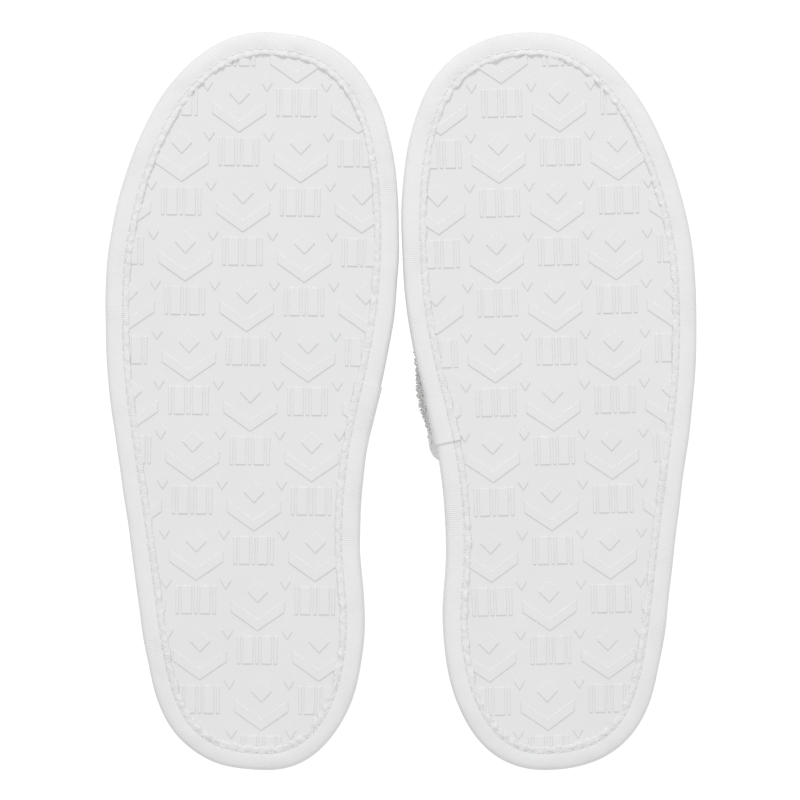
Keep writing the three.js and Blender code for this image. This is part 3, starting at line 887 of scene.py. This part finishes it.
def edgeTape(hand):
    t = tape
    lapShare = shareBehindToe(t["lapAt"][hand][0], True)
    lapRow = lapShare * t["stations"]
    rows = np.arange(t["stations"], dtype=float)
    rows = np.sort(np.concatenate([rows, [lapRow - 0.04, lapRow + 0.04]]))
    loops, run = tapeLoops(hand, t, rows)
    count = loops.shape[1]
    faces = gridFaces(len(rows), count, wrapRows=True, wrapColumns=True)
    section = tapeSection(t)[0]
    z = np.where(section[:, 2] != 0, levels["footbedTop"] + section[:, 2], section[:, 1])
    calm = np.stack([section[:, 0], z], axis=1)
    girth = runAlong(np.vstack([calm, calm[:1]])) * mm
    uv = gridUv(np.concatenate([run, [edge["length"]]]) * mm, girth)
    mesh = newMesh(f"{hand}_edge_tape", loops.reshape(-1, 3), [faces], [uv])
    piece = newPiece(f"{hand}_edge_tape", mesh, finishes["tape"])
    settle(piece, hand, [f"{hand}_sole_binding"])


for hand in hands:
    edgeTape(hand)
say("edge tapes made")


stitches = {"length": 3.7, "thick": 0.46, "sag": 0.2, "sides": 6, "steps": 7}


# One stitch lying along x: a short thread whose ends dive below the cloth.
def stitchMesh(s):
    t = np.linspace(-1, 1, s["steps"])
    x = t * s["length"] / 2
    z = s["sag"] * (1 - 2.2 * t ** 4)
    radius = s["thick"] / 2 * np.sqrt(np.clip(1.02 - t ** 6, 0.05, 1))
    turn = np.arange(s["sides"]) * 2 * math.pi / s["sides"]
    rings = np.stack([
        np.repeat(x[:, None], s["sides"], axis=1),
        radius[:, None] * np.cos(turn)[None, :],
        z[:, None] + radius[:, None] * np.sin(turn)[None, :] * 0.85,
    ], axis=-1)
    walls = gridFaces(s["steps"], s["sides"], wrapColumns=True)
    start = np.arange(s["sides"])[None, :]
    end = (np.arange(s["sides"]) + s["sides"] * (s["steps"] - 1))[None, :]
    return newMesh("stitch", rings.reshape(-1, 3) * mm, [walls, start[:, ::-1], end])


def stitchRow(name, hand, middles, up, along, replaced):
    mesh = bpy.data.meshes.new(name)
    mesh.from_pydata(middles.tolist(), [], [])
    for key, vectors in (("up", up), ("along", along)):
        attribute = mesh.attributes.new(key, "FLOAT_VECTOR", "POINT")
        attribute.data.foreach_set("vector", np.asarray(vectors, dtype=float).ravel())
    carrier = newPiece(name, mesh)
    stitch = newPiece("stitch", stitchMesh(stitches))
    made = trees["stitch"].use(carrier, {"Stitch": stitch, "Material": finishes["thread"]}, name)
    bpy.data.objects.remove(stitch)
    made.shade_smooth()
    settle(newPiece(name, made), hand, replaced)


def edgeSeams(hand):
    t = tape
    count = round(edge["length"] / t["stitchPitch"])
    share = (np.arange(count) + 0.5) / count
    seat = levels["footbedTop"] + upper["flangeThick"] * flangeCover(share)
    rows = [("under_stitches", np.full(count, t["threadUnder"]), -1, "sole_bobbin_thread"),
            ("top_stitches", seat + t["threadOver"], 1, "sole_needle_thread")]
    for name, z, way, node in rows:
        before, middle, after = (placed(hand, np.concatenate(
            [edgeAt(share + step / count, t["seamInset"]), z[:, None]], axis=1)) for step in (-0.5, 0, 0.5))
        up = np.tile([0, 0, way], (count, 1))
        stitchRow(f"{hand}_{name}", hand, middle, up, unit(after - before), [f"{hand}_{node}"])


for hand in hands:
    edgeSeams(hand)
say("edge seams made")


def archPoints(hand, depth, way, around, lift):
    u = upper
    inset = u["seamInset"] + depth
    inner = edgeAt(way * innerThroat, inset)
    outer = edgeAt(1 - way * (1 - outerThroat), inset)
    middle = (inner + outer) / 2
    half = np.linalg.norm(inner - middle, axis=-1)
    across = unit(inner - middle)
    rounding = np.minimum(way / u["toeRoundingShare"], 1)
    rise = np.sqrt(1 - (1 - rounding) ** 2)
    full = u["toeBoxHeight"] + (u["instepHeight"] - u["toeBoxHeight"]) * smoothStep(0, 1, way)
    height = rise * (full - depth) - lift
    lean = (u["throatSideFromToe"] - u["throatTopFromToe"]) * way ** 2
    angle = math.pi * (1 - around)
    level = np.abs(np.sin(angle)) ** (2 / u["archSquareness"])
    sideways = np.sign(np.cos(angle)) * np.abs(np.cos(angle)) ** (2 / u["archSquareness"])
    innerBulge, outerBulge = u["sideBulge"][hand]
    elsewhere, added, at, over = u["mouthSwell"]
    swell = elsewhere + added * np.exp(-((way - at) / over) ** 2)
    puff = rise * way * swell * np.sin(math.pi * level ** u["bulgeSlant"]) ** 2
    reach = half * sideways + puff * np.where(sideways < 0, -outerBulge, innerBulge)
    x = middle[..., 0] + across[..., 0] * reach
    y = middle[..., 1] + across[..., 1] * reach - lean * level ** u["throatSlant"]
    z = levels["footbedTop"] + lift + height * level
    return np.stack([x, y, z], axis=-1)


softness = {"undulation": 0.8, "gather": 0.45, "gatherPitch": 7.5, "gatherReach": 6}


# The same points with the cloth's gathers at its foot and its soft unevenness.
def clothPoints(hand, depth, way, around, lift=0.0):
    base = archPoints(hand, depth, way, around, lift)
    outward = unit(archPoints(hand, 0, way, around, 0) - archPoints(hand, 4, way, around, 0))
    seed = seeds[hand]["cloth"]
    s = softness
    high = base[..., 2] - levels["footbedTop"]
    plan = base * np.array([1, 1, 0.6])
    loose = smoothStep(0, 12, high) * (0.35 + 0.65 * smoothStep(1.0, 0.9, way))
    swell = ripple(plan, seed, 52, 6) * s["undulation"] * loose
    footRun = way * upper["clothRun"] * np.where(around < 0.5, -1, 1)
    circle = np.stack([footRun, np.zeros_like(footRun)], axis=-1)
    drift = ripple(circle, seed + 1, 30, 5)
    gather = np.sin(2 * math.pi * footRun / s["gatherPitch"] + 1.6 * drift)
    gather = gather * np.exp(-high / s["gatherReach"]) * smoothStep(0, 1.5, high)
    return base + outward * (swell + gather * s["gather"])[..., None]


def upperGrid(rows, columns, first=0.02):
    way = np.linspace(first, 1, rows) ** 1.35
    around = np.linspace(0, 1, columns)
    return np.broadcast_arrays(way[:, None], around[None, :])


def upperTip(depth, lift):
    tip = edgeAt(0.0, upper["seamInset"] + depth)
    return np.array([[tip[0], tip[1], levels["footbedTop"] + lift]])


def upperShell(name, hand, depths, withFlange, finish, node, rows=120, columns=150):
    way, around = upperGrid(rows, columns)
    lift = upper["flangeThick"] if withFlange else 0.0
    outer = clothPoints(hand, depths[0], way, around, lift)
    inner = clothPoints(hand, depths[1], way, around)
    blocks = [outer.reshape(-1, 3), upperTip(depths[0], lift), inner.reshape(-1, 3), upperTip(depths[1], 0)]
    size = rows * columns
    outerStart, outerTip, innerStart, innerTip = 0, size, size + 1, 2 * size + 1
    index = np.arange(size).reshape(rows, columns)

    def foot(start, tip):
        return np.concatenate([index[::-1, 0] + start, [tip], index[:, -1] + start])

    lines = [foot(outerStart, outerTip)]
    if withFlange:
        ways = np.concatenate([-way[::-1, 0], [0], way[:, 0]])
        share = np.where(ways < 0, 1 + ways * (1 - outerThroat), ways * innerThroat)
        plan = edgeAt(share, upper["flangeInset"])
        for z in (levels["footbedTop"] + lift, levels["footbedTop"]):
            start = sum(len(block) for block in blocks)
            blocks.append(np.concatenate([plan, np.full((len(plan), 1), z)], axis=1))
            lines.append(np.arange(len(plan)) + start)
    lines.append(foot(innerStart, innerTip))
    quads = [gridFaces(rows, columns, outerStart), gridFaces(rows, columns, innerStart, flip=True)]
    quads += [stripFaces(one, other, flip=True) for one, other in zip(lines, lines[1:])]
    quads.append(stripFaces(index[-1] + outerStart, index[-1] + innerStart))
    fans = [fanFaces(outerTip, index[0] + outerStart), fanFaces(innerTip, index[0] + innerStart, flip=True)]
    if withFlange:
        quads.append(np.array([[line[0] for line in lines], [line[-1] for line in lines][::-1]]))
    points = placed(hand, np.vstack(blocks))
    faces = [np.vstack(quads), np.vstack(fans)]
    flat = np.stack([way * upper["clothRun"], around * upper["clothGirth"]], axis=-1).reshape(-1, 2) * mm
    extra = np.zeros((len(points), 2))
    extra[:size] = flat
    extra[innerStart:innerStart + size] = flat
    mesh = newMesh(name, points, faces, [extra[block] for block in faces])
    settle(newPiece(name, mesh, finish), hand, [node])


pile = {
    "upperSpacing": 1.42,
    "footbedSpacing": 1.36,
    "loopWidth": 1.04,
    "loopHeight": 1.0,
    "loopRoot": 0.1,
    "yarnWidth": 0.6,
    "steps": 5,
    "sides": 3,
}


def pileLoop():
    p = pile
    steps, sides, thick = p["steps"], p["sides"], p["yarnWidth"] / 2
    t = np.linspace(0, math.pi, steps)
    middle = np.stack([np.cos(t) * p["loopWidth"] / 2, np.zeros(steps),
                       np.sin(t) * p["loopHeight"] - p["loopRoot"]], axis=-1)
    outward = np.stack([np.cos(t), np.zeros(steps), np.sin(t)], axis=-1)
    sideways = np.array([0.0, 1.0, 0.0])
    turn = np.arange(sides) * 2 * math.pi / sides
    ring = (outward[:, None, :] * np.cos(turn)[None, :, None]
            + sideways[None, None, :] * np.sin(turn)[None, :, None]) * thick
    points = (middle[:, None, :] + ring).reshape(-1, 3) * mm
    walls = gridFaces(steps, sides, wrapColumns=True)
    caps = np.array([[0, 1, 2], [sides * (steps - 1) + k for k in (2, 1, 0)]])
    return newPiece("pile loop", newMesh("pile loop", points, [walls, caps]))


def terryPile(name, hand, grid, spacing):
    rows, columns = grid.shape[:2]
    points = placed(hand, grid.reshape(-1, 3))
    faces = gridFaces(rows, columns)
    a, b, d = (points[faces[:, k]] for k in (0, 1, 3))
    if np.cross(b - a, d - a)[:, 2].sum() < 0:
        faces = faces[:, ::-1]
    carrier = newPiece(name, newMesh(name, points, [faces], closed=False))
    loop = pileLoop()
    values = {"Spacing": spacing * mm, "Loop": loop, "Material": finishes["loops"]}
    mesh = trees["pile"].use(carrier, values, name)
    bpy.data.objects.remove(loop)
    mesh.shade_smooth()
    say(f"{name}: {len(mesh.polygons)} faces")
    settle(newPiece(name, mesh), hand)


def upperPile(hand):
    way, around = upperGrid(110, 150, 0.003)
    keep = way[:, 0] < 0.955
    around = 0.003 + around * 0.994
    grid = clothPoints(hand, upper["coverDepths"][0], way[keep], around[keep], upper["flangeThick"])
    terryPile(f"{hand}_upper_pile", hand, grid, pile["upperSpacing"])


for hand in hands:
    upperShell(f"{hand}_terry_upper", hand, upper["coverDepths"], True, finishes["ground"],
               f"{hand}_upper_cover")
    upperShell(f"{hand}_upper_interlining", hand, upper["foamDepths"], False, finishes["foam"],
               f"{hand}_upper_foam", 80, 90)
    upperShell(f"{hand}_vamp_lining", hand, upper["liningDepths"], False, finishes["lining"],
               f"{hand}_upper_lining", 100, 120)
    upperPile(hand)
say("uppers made")


throat = {"reach": 8.4, "seamReach": 5.8, "threadOver": 0.5, "stations": 420}


def throatPlaces(hand, count):
    around = np.linspace(0.0, 1.0, count)
    edgeWay, backWay = np.full(count, 1.0), np.full(count, 0.965)
    deep = upper["liningDepths"][1]
    shallow = upper["coverDepths"][0]
    outEdge = clothPoints(hand, shallow, edgeWay, around, upper["flangeThick"])
    outBack = clothPoints(hand, shallow, backWay, around, upper["flangeThick"])
    inEdge = clothPoints(hand, deep, edgeWay, around)
    inBack = clothPoints(hand, deep, backWay, around)
    return outEdge, inEdge, unit(outBack - outEdge), unit(inBack - inEdge)


def throatTape(hand):
    t = throat
    outEdge, inEdge, outAlong, inAlong = throatPlaces(hand, t["stations"])
    across = outEdge - inEdge
    away = unit(across - outAlong * (across * outAlong).sum(axis=-1, keepdims=True))
    reach, seam = t["reach"], t["seamReach"]
    section = np.array([
        (0, reach, 0.15), (0, reach + 0.1, 0.6), (0, reach - 0.5, 0.85), (0, seam + 0.6, 0.7),
        (0, seam, 0.42), (0, seam - 0.6, 0.75), (0, seam - 2, 1.0), (0, seam - 4, 1.05),
        (0, 0.6, 0.95), (0, -0.5, 0.55), (0.25, -1.1, 0), (0.5, -1.3, 0), (0.75, -1.1, 0),
        (1, -0.5, -0.55), (1, 0.6, -0.85), (1, seam - 3, -0.85), (1, seam, -0.5),
        (1, reach - 0.5, -0.75), (1, reach, -0.4), (1, reach - 0.2, -0.1), (1, seam, -0.05),
        (1, 1, -0.1), (0.85, 0.0, 0), (0.5, -0.25, 0), (0.15, 0.0, 0), (0, 1, 0.1), (0, seam, 0.05),
    ])
    share, along, height = section[:, 0], section[:, 1], section[:, 2]
    run = np.linspace(0, 1, t["stations"])
    line = np.stack([run * upper["clothGirth"], np.zeros_like(run)], axis=-1)
    loose = np.exp(-((np.abs(along) - reach) / 1.2) ** 2)
    frill = ripple(line, seeds[hand]["mouth"], 6, 8)[:, None] * loose[None, :] * 0.22
    length = runAlong(outEdge)
    pitch = tape["stitchPitch"]
    pull = (0.5 + 0.5 * np.cos(2 * math.pi * length / pitch)) ** 4
    nearSeam = np.exp(-((along - seam) / 0.7) ** 2)
    height = height[None, :] - np.sign(height)[None, :] * pull[:, None] * nearSeam[None, :] * 0.16
    alongWay = (along[None, :] + frill)[..., None]
    inner = share[None, :, None]
    base = outEdge[:, None, :] * (1 - inner) + inEdge[:, None, :] * inner
    direction = outAlong[:, None, :] * (1 - inner) + inAlong[:, None, :] * inner
    loops = base + direction * alongWay + away[:, None, :] * height[..., None]
    count = len(section)
    points = placed(hand, loops.reshape(-1, 3))
    walls = gridFaces(t["stations"], count, wrapColumns=True)
    start = np.arange(count)[None, :]
    end = (np.arange(count) + count * (t["stations"] - 1))[None, :]
    girth = runAlong(np.vstack([points[:count], points[:1]]))
    uv = [gridUv(length * mm, girth), np.zeros((1, count, 2)), np.zeros((1, count, 2))]
    faces = [walls, start[:, ::-1], end]
    mesh = newMesh(f"{hand}_throat_tape", points, faces, uv)
    piece = newPiece(f"{hand}_throat_tape", mesh, finishes["tape"])
    settle(piece, hand, [f"{hand}_throat_binding"])
    seamLine = outEdge + outAlong * seam + away * t["threadOver"]
    middles = (np.arange(1, int(length[-1] / pitch)) + 0.5) * pitch
    before, middle, after, raised = (
        placed(hand, np.stack([np.interp(middles + step, length, line[:, k]) for k in range(3)], axis=-1))
        for step, line in ((-1, seamLine), (0, seamLine), (1, seamLine), (0, seamLine + away)))
    stitchRow(f"{hand}_throat_stitches", hand, middle, unit(raised - middle), unit(after - before),
              [f"{hand}_throat_stitching"])


for hand in hands:
    throatTape(hand)
say("throat tapes made")


footbed = {
    "puff": 1.2,
    "puffFrom": 7.6,
    "puffOver": 6.0,
    "seamDip": 0.5,
    "pileFromToe": 95,
    "pileUnderTape": 0.8,
    "ends": (0.004, 0.996),  # where the grid starts and stops between toe and heel
}


def soleGrid(inset, rows, columns, start, end):
    way = start + (end - start) * (1 - np.cos(np.linspace(0, math.pi, rows))) / 2
    heelShare = float(edge["share"][np.argmax(edge["points"][:, 1])])
    inner = edgeAt(way * heelShare, inset)
    outer = edgeAt(1 - way * (1 - heelShare), inset)
    t = (1 - np.cos(np.linspace(0, math.pi, columns))) / 2
    return outer[:, None, :] * (1 - t)[None, :, None] + inner[:, None, :] * t[None, :, None]


def edgeDistance(plan):
    line = edge["points"][:-1:4]
    flat = plan.reshape(-1, 2)
    nearest = np.array([np.sqrt(((line - point) ** 2).sum(axis=1).min()) for point in flat])
    return nearest.reshape(plan.shape[:-1])


def footbedHeight(hand, plan):
    f = footbed
    distance = edgeDistance(plan)
    crown = smoothStep(f["puffFrom"], f["puffFrom"] + f["puffOver"], distance) * f["puff"]
    soft = ripple(plan, seeds[hand]["bed"], 40, 6) * 0.25 * smoothStep(9, 20, distance)
    dip = np.exp(-((distance - tape["seamInset"]) / 1.6) ** 2) * f["seamDip"]
    return levels["footbedTop"] + crown + soft - dip


# A soft layer of the sole: its top and its underside over the same points of the plan.
def soleLayer(hand, name, plan, top, under, finish, node):
    rows, columns = plan.shape[:2]
    faceOf = [np.concatenate([plan, z[..., None]], axis=-1).reshape(-1, 3) for z in (top, under)]
    size = rows * columns
    index = np.arange(size).reshape(rows, columns)
    rim = np.concatenate([index[0], index[1:, -1], index[-1, -2::-1], index[-2:0:-1, 0]])
    rim = np.append(rim, rim[0])
    faces = [np.vstack([gridFaces(rows, columns), gridFaces(rows, columns, size, flip=True),
                        stripFaces(rim, rim + size)])]
    mesh = newMesh(name, placed(hand, np.vstack(faceOf)), faces)
    settle(newPiece(name, mesh, finish), hand, [node])


foam = {
    "inset": 0.05,
    "unevenness": 0.04,
    "give": 0.1,
    "pinchReach": 3,
    "pinchTop": 0.35,
    "pinchUnder": 0.2,
}


# The foam sheet: flat where it is pressed between its neighbours, thinning at its cut edge.
def foamSheet(hand):
    f = foam
    low, high = (heightOf(f"{hand}_footbed_foam", corner) for corner in (0, 1))
    plan = soleGrid(soleShape["coreInset"] + f["inset"], 120, 60, *footbed["ends"])
    pinch = 1 - smoothStep(0, f["pinchReach"], edgeDistance(plan) - soleShape["coreInset"])
    give = ripple(plan, seeds[hand]["foam"], 30, 6) * f["unevenness"] + f["give"]
    top = high - give - pinch * f["pinchTop"]
    under = low + give * 0.3 + pinch * f["pinchUnder"]
    soleLayer(hand, f"{hand}_foam_sheet", plan, top, under, finishes["foam"],
              f"{hand}_footbed_foam")


def terryFootbed(hand):
    plan = soleGrid(soleShape["coreInset"] + 0.1, 170, 74, *footbed["ends"])
    soleLayer(hand, f"{hand}_terry_footbed", plan, footbedHeight(hand, plan),
              np.full(plan.shape[:-1], levels["footbedUnder"]), finishes["ground"],
              f"{hand}_footbed_cover")
    startShare = shareBehindToe(footbed["pileFromToe"], True)
    heelShare = float(edge["share"][np.argmax(edge["points"][:, 1])])
    bed = soleGrid(tape["topReach"] - footbed["pileUnderTape"], 130, 60, startShare / heelShare,
                   footbed["ends"][1])
    grid = np.concatenate([bed, footbedHeight(hand, bed)[..., None] - 0.1], axis=-1)
    terryPile(f"{hand}_footbed_pile", hand, grid, pile["footbedSpacing"])


for hand in hands:
    foamSheet(hand)
    terryFootbed(hand)
say("footbeds made")


for hand in hands:
    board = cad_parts[f"{hand}_midsole"]
    board.data.materials.clear()
    board.data.materials.append(finishes["board"])


studio = {
    "pictureWidth": 0.313,  # the studio's sizes are in metres, but the camera's in millimetres
    "lens": 100,
    "sensor": 36,
    "backdrop": 1.05,
    "surround": 0.62,
    "floorSize": 8,
    "floorDrop": 0.0007,
    "cameraShift": (-0.0004, -0.0004),
    "lights": {  # place, size, power
        "toe light": ((-0.15, -1.6, -1.15), (1.1, 0.55), 13.5),
        "sole light": ((0.1, 0.2, -1.4), (1.0, 1.0), 2.7),
        "top light": ((-0.5, -0.7, 1.3), (0.9, 0.9), 8.5),
        "back light": ((0.6, 0.9, 0.9), (0.8, 0.8), 3.5),
    },
}


def paleFloor():
    size = studio["floorSize"] / 2
    mesh = bpy.data.meshes.new("floor")
    z = -studio["floorDrop"]
    mesh.from_pydata([(-size, -size, z), (size, -size, z), (size, size, z), (-size, size, z)], [],
                     [(0, 1, 2, 3)])
    f = Finish("pale floor", 0.6)
    f.colour(f.mix(f.noise(3, 2), (0.86, 0.86, 0.86), (0.88, 0.88, 0.88)))
    seeThrough = f.node("ShaderNodeBsdfTransparent")
    behind = f.node("ShaderNodeNewGeometry").out("Backfacing")
    both = f.node("ShaderNodeMixShader", None, {0: behind, 1: Wire(f, f.shader.outputs[0]), 2: seeThrough})
    f.tree.links.new(both.socket, f.tree.nodes["Material Output"].inputs["Surface"])
    floor = newPiece("floor", mesh, f.material)
    floor.visible_shadow = False
    floor.visible_diffuse = False
    floor.visible_glossy = False
    floor.visible_transmission = False


def paleSurround():
    world = bpy.data.worlds.new("surround")
    bpy.context.scene.world = world
    world.use_nodes = True
    nodes, links = world.node_tree.nodes, world.node_tree.links
    ground = nodes["Background"]
    path = nodes.new("ShaderNodeLightPath")
    strength = nodes.new("ShaderNodeMapRange")
    strength.inputs["To Min"].default_value = studio["surround"]
    strength.inputs["To Max"].default_value = studio["backdrop"]
    links.new(path.outputs["Is Camera Ray"], strength.inputs["Value"])
    ground.inputs["Color"].default_value = (1, 1, 1, 1)
    links.new(strength.outputs[0], ground.inputs["Strength"])


# A soft rectangular light that faces the slippers.
def softLight(name, place, size, power):
    data = bpy.data.lights.new(name, "AREA")
    data.shape = "RECTANGLE"
    data.size, data.size_y = size
    data.energy = power
    lamp = bpy.data.objects.new(name, data)
    bpy.context.scene.collection.objects.link(lamp)
    lamp.location = place
    x, y, z = place
    lamp.rotation_euler = (math.atan2(math.hypot(x, y), z), 0, math.atan2(-y, -x) - math.pi / 2)
    lamp.visible_camera = False


def underCamera():
    data = bpy.data.cameras.new("camera")
    data.lens = studio["lens"]
    data.sensor_width = studio["sensor"]
    data.clip_start = 0.01
    camera = bpy.data.objects.new("camera", data)
    bpy.context.scene.collection.objects.link(camera)
    distance = studio["pictureWidth"] * studio["lens"] / studio["sensor"]
    camera.location = (*studio["cameraShift"], -distance)
    camera.rotation_euler = (math.pi, 0, 0)
    bpy.context.scene.camera = camera


paleFloor()
paleSurround()
for name, (place, size, power) in studio["lights"].items():
    softLight(name, place, size, power)
underCamera()
bpy.context.scene.view_settings.view_transform = "Standard"
say("studio made")
